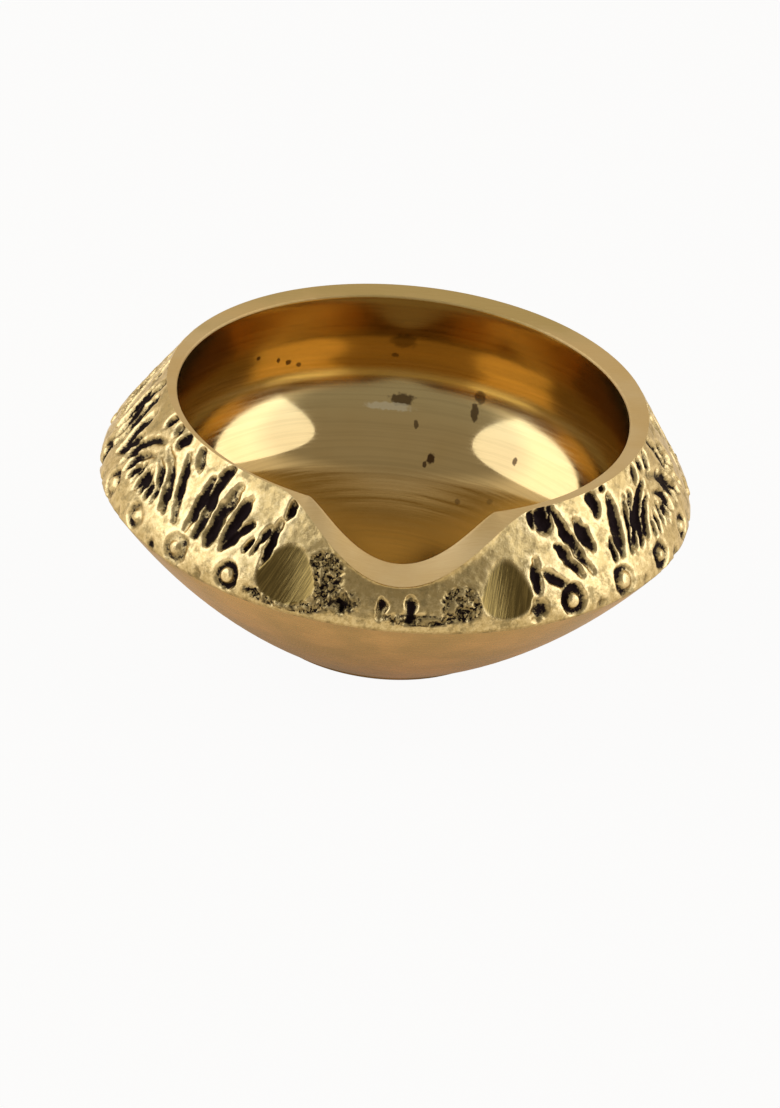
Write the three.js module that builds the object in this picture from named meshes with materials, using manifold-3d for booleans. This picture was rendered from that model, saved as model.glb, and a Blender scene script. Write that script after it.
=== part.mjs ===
import * as THREE from 'three';
import { mergeVertices } from 'three/addons/utils/BufferGeometryUtils.js';
import Module from 'manifold-3d';

// Cast brass oil lamp (diya). Millimetres, +Z up, origin at the centre of the foot,
// wick spout towards -Y. The lamp is one casting: foot, lower bowl, ring border,
// leaf shoulder, ground rim, turned bowl and pinched spout are one piece of metal.

// Foot and lower bowl, which stops just inside and below the band
const footRadius = 15.7;
const footEdge = 0.5;
const lowerBowlBulge = 1.35;

// Border band, the widest part of the lamp
const bandRadius = 38;
const bandBottomHeight = 19.8;
const bandHeight = 3.8;
const bandLean = 1.4;
const bandStep = 0.4;
const bandUndercut = 0.5;

// Rim, ground flat and a little out of true to the bowl
const rimHeight = 32;
const rimOuterRadius = 31;
const rimOuterShift = new THREE.Vector2(0.6, 1.3);
const rimWidth = 2.1;
const mouthBevel = 0.35;

// Turned inside: a shallow dish, a tighter heel and a wall that leans in to the mouth. The
// heel's arc has its centre inside the band and starts and ends at angles from straight down.
const heelInset = 19.1;
const heelLift = 2.75;
const heelRadius = 13.6;
const heelStart = 25;
const heelEnd = 77.3;
const wallEase = 4.2;

// Wick spout: a filed dip whose outer lip is lower than its inner lip and stands out a little
// over the shoulder
const spoutAngle = -1.5;
const innerLip = { depth: 5.95, halfAngle: 24, power: 1.3 };
const outerLip = { depth: 7, halfAngle: 32, power: 1.8 };
const lipOverhang = 0.55;
const overhangPower = 6;

// Scoops of a round file that pinch the spout, one on each side: where the middle of each lies
// on the shoulder, which way it faces, the file's radius and the depth and length of its cut
const scoop = { offset: 23, rise: 0.35, turn: 19, tilt: 33, radius: 9, depth: 0.5, length: 18 };

// Leaf relief on the shoulder: fans and arched rosettes in turn, none at the spout. Angles are
// degrees round the lamp, and rises run from 0 at the shoulder's foot to 1 at the rim. Each
// gouge is the angle and rise of its foot, those of its top, how far it bows, and half its width.
const fanCount = 7;
const firstFanAngle = 47;
const rightFan = [
  [-5, 0.06, -11.5, 0.72, 0, 0.65],
  [-9, 0.07, -13.5, 0.56, 0, 0.5],
  [-4, 0.33, -6.5, 0.72, 0, 0.55],
  [-0.5, 0.06, -1.5, 0.4, 0, 0.4],
  [1, 0.78, -1.5, 0.96, 0, 0.55],
  [1, 0.58, -2.7, 0.74, 0, 0.5],
  [4.5, 0.18, 6, 0.84, 0.3, 0.65],
  [6, 0.12, 10.3, 0.66, 0, 0.5],
  [10.5, 0.38, 13, 0.72, 0, 0.45],
];
const leftFan = [
  [-9.6, 0.12, -14, 0.5, 0, 0.42],
  [-6.3, 0.08, -13, 0.74, 0.6, 0.6],
  [-6, 0.18, -8.5, 0.92, -0.4, 0.6],
  [-3, 0.08, -4.5, 0.74, -0.5, 0.5],
  [-0.3, 0.1, -0.6, 0.95, -0.6, 0.7],
  [3.5, 0.05, 3.7, 0.77, -0.9, 0.6],
  [4.2, 0.08, 7.5, 0.72, 0.5, 0.6],
  [7.6, 0.7, 10.4, 0.6, 0, 0.45],
  [7, 0.06, 10.7, 0.38, 0, 0.45],
];
const rosetteArches = [
  { halfAngle: 7, top: 0.5, from: 0.1, to: 0.47, halfWidth: 0.4 },
  { halfAngle: 10.5, top: 0.66, from: 0.08, to: 0.62, halfWidth: 0.5 },
];
const rosetteVeins = [
  [-2.4, 0.06, -2, 0.28, 0, 0.35],
  [0, 0.06, 0, 0.3, 0, 0.35],
  [2.4, 0.06, 2, 0.28, 0, 0.35],
];
const besideSpout = [
  [28.3, 0.05, 28.3, 0.42, 0, 0.5],
  [31, 0.06, 33.6, 0.26, 0, 0.6],
  [31.7, 0.7, 31.3, 0.95, 0, 0.55],
  [33.8, 0.74, 34.2, 0.95, 0, 0.5],
  [-33.6, 0.05, -32.8, 0.27, 0, 0.45],
  [-31.4, 0.42, -30.8, 0.62, 0, 0.4],
];
const gougeDepth = 0.65;
const gougeTaper = 0.5;
const gougeSteps = 4;

// Ring border: one ring-and-dot at each step of the pitch, none at the spout
const ringCount = 22;
const firstRingAngle = 36.3;
const ringRise = 0.5;
const ringRadius = 1.35;
const ringGrooveHalfWidth = 0.36;
const ringGrooveDepth = 0.45;
const ringSides = 8;

// How finely the casting is drawn
const turns = 88;
const lowerBowlSteps = 4;
const bandSteps = 3;
const shoulderSteps = 4;
const wallSteps = 3;
const heelSteps = 4;
const dishSteps = 3;
const scoopSides = 40;

// How far a cutter stands clear of the surface that it cuts, and the share of its path
// over which its direction is taken
const cutterClearance = 0.2;
const tangentStep = 0.01;

// Sizes that follow from those above: the walls stay as thick when one of them changes
const lowerBowlTopRadius = bandRadius - bandStep;
const lowerBowlTopHeight = bandBottomHeight - bandUndercut;
const shoulderFootRadius = bandRadius - bandLean;
const shoulderFootHeight = bandBottomHeight + bandHeight;
const mouthRadius = rimOuterRadius - rimWidth;
const heelCentre = new THREE.Vector2(bandRadius - heelInset, bandBottomHeight + heelLift);

const brass = new THREE.MeshStandardMaterial({ color: 0xc99a55, roughness: 0.3, metalness: 1 });

// An angle of 0 is the middle of the spout, and it grows anticlockwise seen from above
function around(angle, radius, height) {
  const turn = THREE.MathUtils.degToRad(angle);
  return new THREE.Vector3(radius * Math.sin(turn), -radius * Math.cos(turn), height);
}

// How far a lip of the spout lies below the rim
function dip(angle, lip) {
  const offset = Math.abs(THREE.MathUtils.euclideanModulo(angle - spoutAngle + 180, 360) - 180);
  if (offset >= lip.halfAngle) {
    return 0;
  }
  return lip.depth * Math.cos((Math.PI / 2) * (offset / lip.halfAngle)) ** lip.power;
}

// Points on the arc from one profile point to another, bulging to the right of the way
function bulgingArc(from, to, bulge, steps) {
  const middle = from.clone().add(to).multiplyScalar(0.5);
  const along = to.clone().sub(from);
  const side = new THREE.Vector2(along.y, -along.x).normalize();
  const control = middle.add(side.multiplyScalar(2 * bulge));
  return new THREE.QuadraticBezierCurve(from, control, to).getPoints(steps);
}

// Profile of the foot and the lower bowl, as radius and height
function lowerProfile() {
  const edge = new THREE.Vector2(footRadius, footEdge);
  const top = new THREE.Vector2(lowerBowlTopRadius, lowerBowlTopHeight);
  const sole = new THREE.Vector2(footRadius - footEdge, 0);
  return [sole, ...bulgingArc(edge, top, lowerBowlBulge, lowerBowlSteps)];
}

// The band's profile: upright at its lower edge, and in line with the shoulder at its top
function bandCurve() {
  const slope = (shoulderFootRadius - rimOuterRadius) / (rimHeight - shoulderFootHeight);
  const controlHeight = shoulderFootHeight - (bandRadius - shoulderFootRadius) / slope;
  return new THREE.QuadraticBezierCurve(
    new THREE.Vector2(bandRadius, bandBottomHeight),
    new THREE.Vector2(bandRadius, controlHeight),
    new THREE.Vector2(shoulderFootRadius, shoulderFootHeight),
  );
}

// A point of the straight shoulder, from 0 at its foot to 1 at the full height of the rim
function shoulderPoint(angle, rise) {
  const radius = THREE.MathUtils.lerp(shoulderFootRadius, rimOuterRadius, rise);
  const height = THREE.MathUtils.lerp(shoulderFootHeight, rimHeight, rise);
  const point = around(angle, radius, height);
  point.x += rimOuterShift.x * rise;
  point.y += rimOuterShift.y * rise;
  return point;
}

// The shoulder from its foot to the outer lip, with the lip's overhang
function shoulderColumn(angle) {
  const drop = dip(angle, outerLip);
  const top = 1 - drop / (rimHeight - shoulderFootHeight);
  const column = [];
  for (let step = 1; step <= shoulderSteps; step += 1) {
    const part = step / shoulderSteps;
    const overhang = lipOverhang * (drop / outerLip.depth) * part ** overhangPower;
    column.push(shoulderPoint(angle, top * part).add(around(angle, overhang, 0)));
  }
  return column;
}

// A profile point on an arc about a centre, at an angle from straight down
function arcPoint(centre, radius, degrees) {
  const turn = THREE.MathUtils.degToRad(degrees);
  return new THREE.Vector2(centre.x + radius * Math.sin(turn), centre.y - radius * Math.cos(turn));
}

// The turned wall's profile, from the end of the heel to the mouth
function wallCurve() {
  const end = THREE.MathUtils.degToRad(heelEnd);
  const foot = arcPoint(heelCentre, heelRadius, heelEnd);
  const control = new THREE.Vector2(Math.cos(end), Math.sin(end)).multiplyScalar(wallEase).add(foot);
  return new THREE.QuadraticBezierCurve(foot, control, new THREE.Vector2(mouthRadius, rimHeight));
}

// The turned wall's radius at a height, from the share of the curve that reaches it
function wallRadius(height) {
  const curve = wallCurve();
  const climb = curve.v1.y - curve.v0.y;
  const bend = curve.v2.y - curve.v1.y - climb;
  const share = (Math.sqrt(climb ** 2 + bend * (height - curve.v0.y)) - climb) / bend;
  return curve.getPoint(share).x;
}

// The dish is the sphere about the axis that the heel's arc runs into
function dishSphere() {
  const start = THREE.MathUtils.degToRad(heelStart);
  const radius = heelRadius + heelCentre.x / Math.sin(start);
  return { radius, centre: new THREE.Vector2(0, heelCentre.y + heelCentre.x / Math.tan(start)) };
}

// The inside, from the edge of the mouth down the wall and round the heel into the dish
function insideColumn(angle) {
  const lipHeight = rimHeight - dip(angle, innerLip);
  const top = lipHeight - mouthBevel;
  const foot = arcPoint(heelCentre, heelRadius, heelEnd);
  const column = [around(angle, wallRadius(lipHeight) + mouthBevel, lipHeight)];
  for (let step = 0; step < wallSteps; step += 1) {
    const height = THREE.MathUtils.lerp(top, foot.y, step / wallSteps);
    column.push(around(angle, wallRadius(height), height));
  }
  for (let step = 0; step < heelSteps; step += 1) {
    const turn = THREE.MathUtils.lerp(heelEnd, heelStart, step / heelSteps);
    const point = arcPoint(heelCentre, heelRadius, turn);
    column.push(around(angle, point.x, point.y));
  }
  const dish = dishSphere();
  for (let step = 0; step < dishSteps; step += 1) {
    const point = arcPoint(dish.centre, dish.radius, heelStart * (1 - step / dishSteps));
    column.push(around(angle, point.x, point.y));
  }
  return column;
}

// One section of the casting, from the edge of the sole round the rim to the bowl's floor
function section(angle) {
  const outside = [...lowerProfile(), ...bandCurve().getPoints(bandSteps)];
  const column = outside.map((point) => around(angle, point.x, point.y));
  return [...column, ...shoulderColumn(angle), ...insideColumn(angle)];
}

// A closed skin through the sections, with one point at the sole and one at the floor
function loft(sections, first, last) {
  const rows = sections[0].length;
  const points = [first, ...sections.flat(), last];
  const faces = [];
  sections.forEach((_, turn) => {
    const here = 1 + turn * rows;
    const next = 1 + ((turn + 1) % sections.length) * rows;
    faces.push(0, next, here);
    for (let row = 0; row < rows - 1; row += 1) {
      faces.push(here + row, next + row, next + row + 1);
      faces.push(here + row, next + row + 1, here + row + 1);
    }
    faces.push(here + rows - 1, next + rows - 1, points.length - 1);
  });
  return solidGeometry(points, faces);
}

function solidGeometry(points, faces) {
  const geometry = new THREE.BufferGeometry();
  geometry.setAttribute('position', new THREE.Float32BufferAttribute(
    points.flatMap((point) => point.toArray()), 3));
  geometry.setIndex(faces);
  return geometry;
}

function plainCasting() {
  const sections = [];
  for (let turn = 0; turn < turns; turn += 1) {
    sections.push(section((360 * turn) / turns));
  }
  const dish = dishSphere();
  const floor = new THREE.Vector3(0, 0, dish.centre.y - dish.radius);
  return loft(sections, new THREE.Vector3(0, 0, 0), floor);
}

const wasm = await Module();
wasm.setup();

function toSolid(geometry) {
  const merged = mergeVertices(geometry, 1e-5);
  return new wasm.Manifold(new wasm.Mesh({
    numProp: 3,
    vertProperties: new Float32Array(merged.attributes.position.array),
    triVerts: new Uint32Array(merged.index.array),
  }));
}

function toGeometry(solid) {
  const mesh = solid.getMesh();
  const geometry = new THREE.BufferGeometry();
  geometry.setAttribute('position', new THREE.BufferAttribute(mesh.vertProperties, 3));
  geometry.setIndex(new THREE.BufferAttribute(mesh.triVerts, 1));
  geometry.computeVertexNormals();
  return geometry;
}

// The outward direction of a surface whose profile runs along a tangent
function outwardNormal(angle, tangent) {
  return around(angle, tangent.y, -tangent.x).normalize();
}

// A place on the shoulder, moved out from the surface by a lift
function shoulderPlace(angle, rise, lift) {
  const run = new THREE.Vector2(rimOuterRadius - shoulderFootRadius, rimHeight - shoulderFootHeight);
  return shoulderPoint(angle, rise).addScaledVector(outwardNormal(angle, run), lift);
}

// A tapered V-shaped cutter along a path of angle and rise on the shoulder, both ends pointed
function gouge({ path, halfWidth }) {
  const place = (part, lift) => shoulderPlace(path(part).x, path(part).y, lift);
  const spread = halfWidth * (1 + cutterClearance / gougeDepth);
  const points = [place(0, cutterClearance)];
  for (let step = 1; step < gougeSteps; step += 1) {
    const part = step / gougeSteps;
    const full = Math.sin(Math.PI * part) ** gougeTaper;
    const ahead = place(part + tangentStep, 0).sub(place(part - tangentStep, 0));
    const outward = place(part, 1).sub(place(part, 0));
    const side = ahead.cross(outward).setLength(spread * full);
    points.push(place(part, cutterClearance).add(side));
    points.push(place(part, cutterClearance).sub(side));
    points.push(place(part, -gougeDepth * full));
  }
  points.push(place(1, cutterClearance));
  return solidGeometry(points, spindleFaces(gougeSteps - 1));
}

// Faces of a spindle: a point, a run of three-cornered sections and a point
function spindleFaces(sections) {
  const faces = [];
  const last = 1 + 3 * sections;
  for (let corner = 0; corner < 3; corner += 1) {
    const next = (corner + 1) % 3;
    faces.push(0, 1 + corner, 1 + next);
    for (let row = 0; row < sections - 1; row += 1) {
      const here = 1 + 3 * row;
      faces.push(here + corner, here + 3 + next, here + next);
      faces.push(here + corner, here + 3 + corner, here + 3 + next);
    }
    faces.push(last, last - 3 + next, last - 3 + corner);
  }
  return faces;
}

// A bowed gouge, its angles counted from the middle of a motif
function bowedGouge(middle, [footAngle, footRise, topAngle, topRise, bow, halfWidth]) {
  const path = (part) => new THREE.Vector2(
    middle + THREE.MathUtils.lerp(footAngle, topAngle, part) + 4 * bow * part * (1 - part),
    THREE.MathUtils.lerp(footRise, topRise, part),
  );
  return { path, halfWidth };
}

// One side of an arch over a rosette, from its foot towards its top
function archSide(middle, arch, side) {
  const path = (part) => {
    const rise = THREE.MathUtils.lerp(arch.from, arch.to, part);
    const offset = arch.halfAngle * Math.sqrt(1 - (rise / arch.top) ** 2);
    return new THREE.Vector2(middle + side * offset, rise);
  };
  return { path, halfWidth: arch.halfWidth };
}

// Angles at an even pitch, from one side of the spout round the back to the other side
function spacedAngles(count, first) {
  const pitch = (360 - 2 * first) / (count - 1);
  return Array.from({ length: count }, (_, place) => first + pitch * place);
}

function leafFan(middle) {
  const fan = middle < 180 ? rightFan : leftFan;
  return fan.map((stroke) => bowedGouge(middle, stroke));
}

function rosette(middle) {
  const arches = rosetteArches.flatMap((arch) => [
    archSide(middle, arch, -1),
    archSide(middle, arch, 1),
  ]);
  return [...arches, ...rosetteVeins.map((stroke) => bowedGouge(middle, stroke))];
}

function gouges() {
  const fans = spacedAngles(fanCount, firstFanAngle);
  const rosettes = fans.slice(1).map((middle, place) => (middle + fans[place]) / 2);
  return [
    ...fans.flatMap(leafFan),
    ...rosettes.flatMap(rosette),
    ...besideSpout.map((stroke) => bowedGouge(0, stroke)),
  ].map(gouge);
}

// The round file that cuts the scoop on one side of the spout
function scoopCutter(side) {
  const tilt = THREE.MathUtils.degToRad(scoop.tilt);
  const outward = around(spoutAngle + side * scoop.turn, Math.cos(tilt), Math.sin(tilt));
  const across = new THREE.Vector3(0, 0, 1).cross(outward).normalize();
  const along = outward.clone().cross(across);
  const middle = shoulderPoint(spoutAngle + side * scoop.offset, scoop.rise)
    .addScaledVector(outward, scoop.radius - scoop.depth);
  return new THREE.CylinderGeometry(scoop.radius, scoop.radius, scoop.length, scoopSides)
    .deleteAttribute('normal')
    .deleteAttribute('uv')
    .applyMatrix4(new THREE.Matrix4().makeBasis(across, along, outward).setPosition(middle));
}

// A place on the border band, by its angle and its share of the way up the band
function bandPlace(angle, share, lift) {
  const curve = bandCurve();
  const point = curve.getPointAt(share);
  return around(angle, point.x, point.y)
    .addScaledVector(outwardNormal(angle, curve.getTangentAt(share)), lift);
}

// A ring-shaped V cutter on the band, which leaves a dot inside the ring
function ringGroove(angle) {
  const height = bandCurve().getLength();
  const degree = THREE.MathUtils.degToRad(1) * bandRadius;
  const spread = ringGrooveHalfWidth * (1 + cutterClearance / ringGrooveDepth);
  const place = (turn, radius, lift) => bandPlace(
    angle + (radius * Math.cos(turn)) / degree, ringRise + (radius * Math.sin(turn)) / height, lift);
  const points = [];
  const faces = [];
  for (let side = 0; side < ringSides; side += 1) {
    const turn = (2 * Math.PI * side) / ringSides;
    points.push(place(turn, ringRadius + spread, cutterClearance));
    points.push(place(turn, ringRadius - spread, cutterClearance));
    points.push(place(turn, ringRadius, -ringGrooveDepth));
    const here = 3 * side;
    const ahead = 3 * ((side + 1) % ringSides);
    for (let corner = 0; corner < 3; corner += 1) {
      const next = (corner + 1) % 3;
      faces.push(here + corner, ahead + corner, ahead + next);
      faces.push(here + corner, ahead + next, here + next);
    }
  }
  return solidGeometry(points, faces);
}

function ringGrooves() {
  return spacedAngles(ringCount, firstRingAngle).map(ringGroove);
}

function carvedCasting() {
  const cutters = [...gouges(), ...ringGrooves(), scoopCutter(-1), scoopCutter(1)].map(toSolid);
  const relief = cutters.reduce((whole, cutter) => whole.add(cutter));
  return toSolid(plainCasting()).subtract(relief);
}

const lampBody = new THREE.Mesh(toGeometry(carvedCasting()), brass);
lampBody.name = 'lamp_body';

const diya = new THREE.Group();
diya.name = 'diya';
diya.add(lampBody);

export default diya;
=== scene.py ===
import math

import bpy
import numpy as np
from mathutils import Matrix, Vector


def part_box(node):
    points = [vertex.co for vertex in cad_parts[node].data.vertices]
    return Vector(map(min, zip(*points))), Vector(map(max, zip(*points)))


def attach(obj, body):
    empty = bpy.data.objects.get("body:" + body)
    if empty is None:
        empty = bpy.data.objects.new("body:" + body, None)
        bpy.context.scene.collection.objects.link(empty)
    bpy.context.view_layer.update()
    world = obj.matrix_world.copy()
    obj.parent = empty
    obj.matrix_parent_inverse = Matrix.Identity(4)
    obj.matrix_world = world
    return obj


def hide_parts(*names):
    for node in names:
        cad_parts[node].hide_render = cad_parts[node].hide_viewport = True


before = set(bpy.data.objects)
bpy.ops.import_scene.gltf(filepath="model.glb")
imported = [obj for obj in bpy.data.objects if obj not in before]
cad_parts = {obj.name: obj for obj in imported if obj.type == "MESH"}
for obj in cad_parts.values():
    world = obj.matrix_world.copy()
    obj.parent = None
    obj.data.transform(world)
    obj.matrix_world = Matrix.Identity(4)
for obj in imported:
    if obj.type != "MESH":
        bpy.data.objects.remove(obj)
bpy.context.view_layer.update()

MM = 0.001

# The lamp's overall size comes from the frame, in millimetres
BODY_LOW, BODY_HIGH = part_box("lamp_body")
BAND_RADIUS = (BODY_HIGH.x - BODY_LOW.x) / 2 / MM
RIM_HEIGHT = BODY_HIGH.z / MM

# Foot and lower bowl, in millimetres, and how far in and up the middle of the foot's edge lies
FOOT_RADIUS = 15.7
FOOT_EDGE = 0.5
FOOT_EDGE_IN = 0.14
FOOT_EDGE_UP = 0.2
LOWER_BOWL_BULGE = 1.35

# Border band, in millimetres
BAND_BOTTOM = 19.8
BAND_HEIGHT = 3.8
BAND_LEAN = 1.4
BAND_STEP = 0.4
BAND_UNDERCUT = 0.5

# Rim, in millimetres, and how far its middle lies to the right and the back
RIM_OUTER_RADIUS = 31.0
RIM_SHIFT = (0.6, 1.3)
RIM_WIDTH = 2.1
MOUTH_BEVEL = 0.35

# Turned inside: a shallow dish, a tighter heel and a wall that leans in. The heel has a radius,
# a centre and the angles of its ends in degrees
HEEL_INSET = 19.1
HEEL_LIFT = 2.75
HEEL_RADIUS = 13.6
HEEL_START = 25.0
HEEL_END = 77.3
WALL_EASE = 4.2

# Spout: its angle, for each lip its depth, half angle in degrees and power, and how far the
# outer lip stands out over the shoulder
SPOUT_ANGLE = -1.5
INNER_LIP = (5.95, 24.0, 1.3)
OUTER_LIP = (7.0, 32.0, 1.8)
LIP_OVERHANG = 0.55
OVERHANG_POWER = 6

# Filed scoops that pinch the spout: their places, the way they face, the file's radius and the
# depth, then the least that a surface counts as facing the file, and a limit to the depth
SCOOP_OFFSET = 24.8
SCOOP_RISE = 0.35
SCOOP_TURN = 19.5
SCOOP_TILT = 33.5
SCOOP_RADIUS = 26.0
SCOOP_DEPTH = 0.08
SCOOP_LEAST_FACING = 0.2
SCOOP_DEPTH_LIMIT = 3.0

# How far the file's strokes lean to the right, in degrees
FILE_SLANT = 22.0

# Values that follow from those above
SHOULDER_FOOT_RADIUS = BAND_RADIUS - BAND_LEAN
SHOULDER_FOOT = BAND_BOTTOM + BAND_HEIGHT
SHOULDER_RISE = RIM_HEIGHT - SHOULDER_FOOT
SHOULDER_RUN = RIM_OUTER_RADIUS - SHOULDER_FOOT_RADIUS
SHOULDER_LENGTH = math.hypot(SHOULDER_RISE, SHOULDER_RUN)
MOUTH_RADIUS = RIM_OUTER_RADIUS - RIM_WIDTH

HEEL_CENTRE = (BAND_RADIUS - HEEL_INSET, BAND_BOTTOM + HEEL_LIFT)

# Columns round the lamp, how much closer they lie at the spout, and rows up each zone, as a
# count or as shares of the way
FINE_COLUMNS = 1080
PLAIN_COLUMNS = 270
FRONT_CROWDING = 0.35
SOLE_ROWS = (0.4, 0.8, 0.97, 1.0)
LOWER_BOWL_ROWS = 18
BAND_ROWS = 20
SHOULDER_ROWS = 48
LIP_ROWS = (0.02, 0.12, 0.5, 0.88, 0.98)
BEVEL_ROWS = (0.12, 0.88)
WALL_ROWS = 9
BOWL_ROWS = 22

# The shoulder's last row but one lies this far below its edge, in millimetres, and the wall's
# first row this share of a row below the bevel
EDGE_ROW_DROP = 0.05
WALL_FIRST_ROW = 0.2

# Steps along the profile of dish, heel and wall, and points along a carved path
DISH_STEPS = 30
HEEL_STEPS = WALL_STEPS = 40
PATH_POINTS = 9

# How far up the sill's line is looked for, as a rise, and in how many steps
LIP_SEARCH = 0.4
LIP_SEARCH_STEPS = 81

# Leaf relief: fans and arched rosettes in turn round the shoulder, none at the spout. Each row
# gives half a gouge's width, then the points that it runs through, as angle and rise
FAN_COUNT = 7
FIRST_FAN = 47.0
RIGHT_FAN = (
    (0.62, (-12.0, 0.98), (-9.4, 0.7), (-7.4, 0.42), (-4.0, 0.08)),
    (0.58, (-12.7, 0.5), (-10.0, 0.3), (-7.6, 0.07)),
    (0.72, (-6.4, 0.74), (-4.8, 0.54), (-3.4, 0.36)),
    (0.7, (-0.2, 0.99), (0.6, 0.85), (0.8, 0.7)),
    (0.45, (2.2, 0.08), (2.5, 0.35)),
    (0.8, (5.2, 0.1), (5.9, 0.48), (6.6, 0.82)),
    (0.4, (4.2, 0.97), (5.2, 0.95)),
    (0.4, (7.6, 0.08), (9.9, 0.48), (11.3, 0.72)),
    (0.48, (9.6, 0.1), (12.2, 0.44), (13.8, 0.7)),
    (0.42, (11.5, 0.08), (14.2, 0.34)),
)
LEFT_FAN = (
    (0.52, (-6.4, 0.08), (-9.8, 0.44), (-13.4, 0.8)),
    (0.45, (-10.4, 0.08), (-14.6, 0.36)),
    (0.58, (-7.4, 0.74), (-10.4, 0.97)),
    (0.62, (-3.6, 0.08), (-3.5, 0.4), (-3.9, 0.74)),
    (0.72, (0.3, 0.06), (-0.4, 0.36), (-0.8, 0.66), (0.9, 0.99)),
    (0.8, (3.4, 0.05), (3.5, 0.4), (4.2, 0.8)),
    (0.72, (7.0, 0.14), (7.6, 0.46), (8.6, 0.74)),
    (0.58, (7.3, 0.06), (9.0, 0.22), (11.3, 0.46)),
)
# Each arch has its half angle, its top, the rises it runs between, and half its width
ROSETTE_ARCHES = (
    (7.0, 0.50, 0.08, 0.49, 0.52),
    (10.5, 0.68, 0.08, 0.67, 0.62),
)
ROSETTE_VEINS = (
    (0.4, (-4.4, 0.06), (-3.8, 0.24)),
    (0.42, (-2.3, 0.06), (-1.9, 0.32)),
    (0.44, (0.0, 0.06), (0.0, 0.34)),
    (0.42, (2.3, 0.06), (1.9, 0.32)),
    (0.4, (4.4, 0.06), (3.8, 0.24)),
    (0.55, (-4.6, 0.78), (-3.4, 0.96)),
    (0.5, (0.2, 0.84), (0.6, 0.98)),
    (0.55, (3.6, 0.76), (5.0, 0.95)),
)
BESIDE_SPOUT = (
    (0.48, (28.4, 0.78), (28.5, 0.99)),
    (0.85, (32.0, 0.7), (31.8, 0.99)),
    (0.34, (34.2, 0.78), (34.3, 0.99)),
    (0.62, (28.6, 0.02), (28.5, 0.38)),
    (0.62, (30.3, 0.24), (32.4, 0.12), (34.8, 0.04)),
    (0.42, (-29.8, 0.02), (-29.9, 0.34), (-29.5, 0.62)),
    (0.45, (-28.9, 0.7), (-28.6, 0.9)),
    (0.34, (-32.9, 0.16), (-32.0, 0.34), (-31.0, 0.52)),
    (0.3, (-34.6, 0.16), (-34.0, 0.34)),
)
GOUGE_DEPTH = 0.68

# How unevenly the leaves are carved: a whole stroke's angle and rise, a single point's angle and
# height, and the ranges of width and depth
STROKE_JITTER = (0.25, 0.012)
POINT_JITTER = (0.1, 0.03)
STROKE_WIDTH_RANGE = (0.9, 1.12)
STROKE_DEPTH_RANGE = (0.85, 1.1)

# Ring-and-dot border: count, first angle, size, and height as a share of the band
RING_COUNT = 22
FIRST_RING = 36.3
RING_RADIUS = 1.33
RING_HALF_WIDTH = 0.44
RING_DEPTH = 0.62
RING_SHARE = 0.5

# How unevenly the rings are struck: in angle and height, the ranges of radius, stretch, width,
# depth and of unevenness in depth, and how ragged they are. Then the dot in each ring
RING_JITTER = (0.3, 0.06)
RING_RANGES = ((0.92, 1.08), (0.95, 1.15), (0.85, 1.2), (0.8, 1.1), (0.0, 0.7))
RING_RAGGED = 0.7
DOT_HEIGHT = 0.16
DOT_SHARE = 0.6

# Notches on the band's lower edge: heights above the edge, half width and depth
NOTCH_HEIGHTS = (-0.3, 0.4, 1.1)
NOTCH_HALF_WIDTH = 0.55
NOTCH_DEPTH = 0.35

# Every groove: where its side ends, in half widths, and as shares of that the place and spread
# of its raised lip. Then the lip's height, how blunt the ends are and where they are cut off,
# and how far the worn crest beside the groove reaches
GOUGE_FLARE = 1.5
LIP_PLACE = 1.4
LIP_SPREAD = 0.6
LIP_HEIGHT = 0.05
END_BLUNTNESS = 0.25
END_SHARE = 0.04
CREST_WIDTH = 0.6

# How far to either side of a mark its columns reach, in degrees
STROKE_MARGIN = 4.0
RING_MARGIN = 5.0

# Marks below the spout: upright nicks as angle, top and foot in millimetres from the shoulder's
# foot, and half width, and pitted patches as angle, height, half angle and half height
NICKS = (
    (-12.0, -0.1, -2.4, 0.62),
    (-4.3, -0.2, -2.5, 0.6),
    (1.5, 0.1, -2.6, 0.66),
    (27.8, -1.4, -3.2, 1.0),
)
PITTED = (
    (-17.0, 1.6, 4.5, 3.0),
    (-24.0, -2.9, 9.0, 1.0),
    (-13.0, -1.2, 5.0, 1.8),
    (12.0, -0.6, 4.5, 2.4),
    (3.0, -2.6, 8.0, 0.8),
)
NICK_DEPTH = 0.6
NICK_BEND = (0.4, -0.2)
NICK_CREST = 0.3
PATCH_EDGE = (0.6, 1.15)

# Pits in the patches and the knobs between them: size, depth and height, and the noise levels
# at which they start and are full
PIT_SIZE = 0.55
PIT_DEPTH = 0.36
PIT_LEVELS = (-0.1, 0.55)
KNOB_HEIGHT = 0.2
KNOB_LEVELS = (0.05, 0.6)

# Cast skin: the sizes of its coarse and fine grain, how far each moves the grooves' edges and
# the surface, then a broad wobble with its size and depth, drawn out upright
GRAIN_SIZES = (1.3, 0.6)
RAGGED_SHARES = (0.3, 0.12)
ROUGH_SHARES = (0.05, 0.03)
WOBBLE_SIZE = 9.0
WOBBLE_DEPTH = 0.12
WOBBLE_SCALE = (1.0, 1.0, 0.3)

# How far below the rim the relief and the wobble fade out, and the depth of a full filed facet
RELIEF_FADE = 0.3
WOBBLE_FADE = 1.5
FILED_FULL = 0.1

# How unevenly the black lies in the recesses, the size of that, and its shift in the noise
BLACK_UNEVEN = 0.6
BLACK_SIZE = 2.2
BLACK_SHIFT = 40.0

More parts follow.
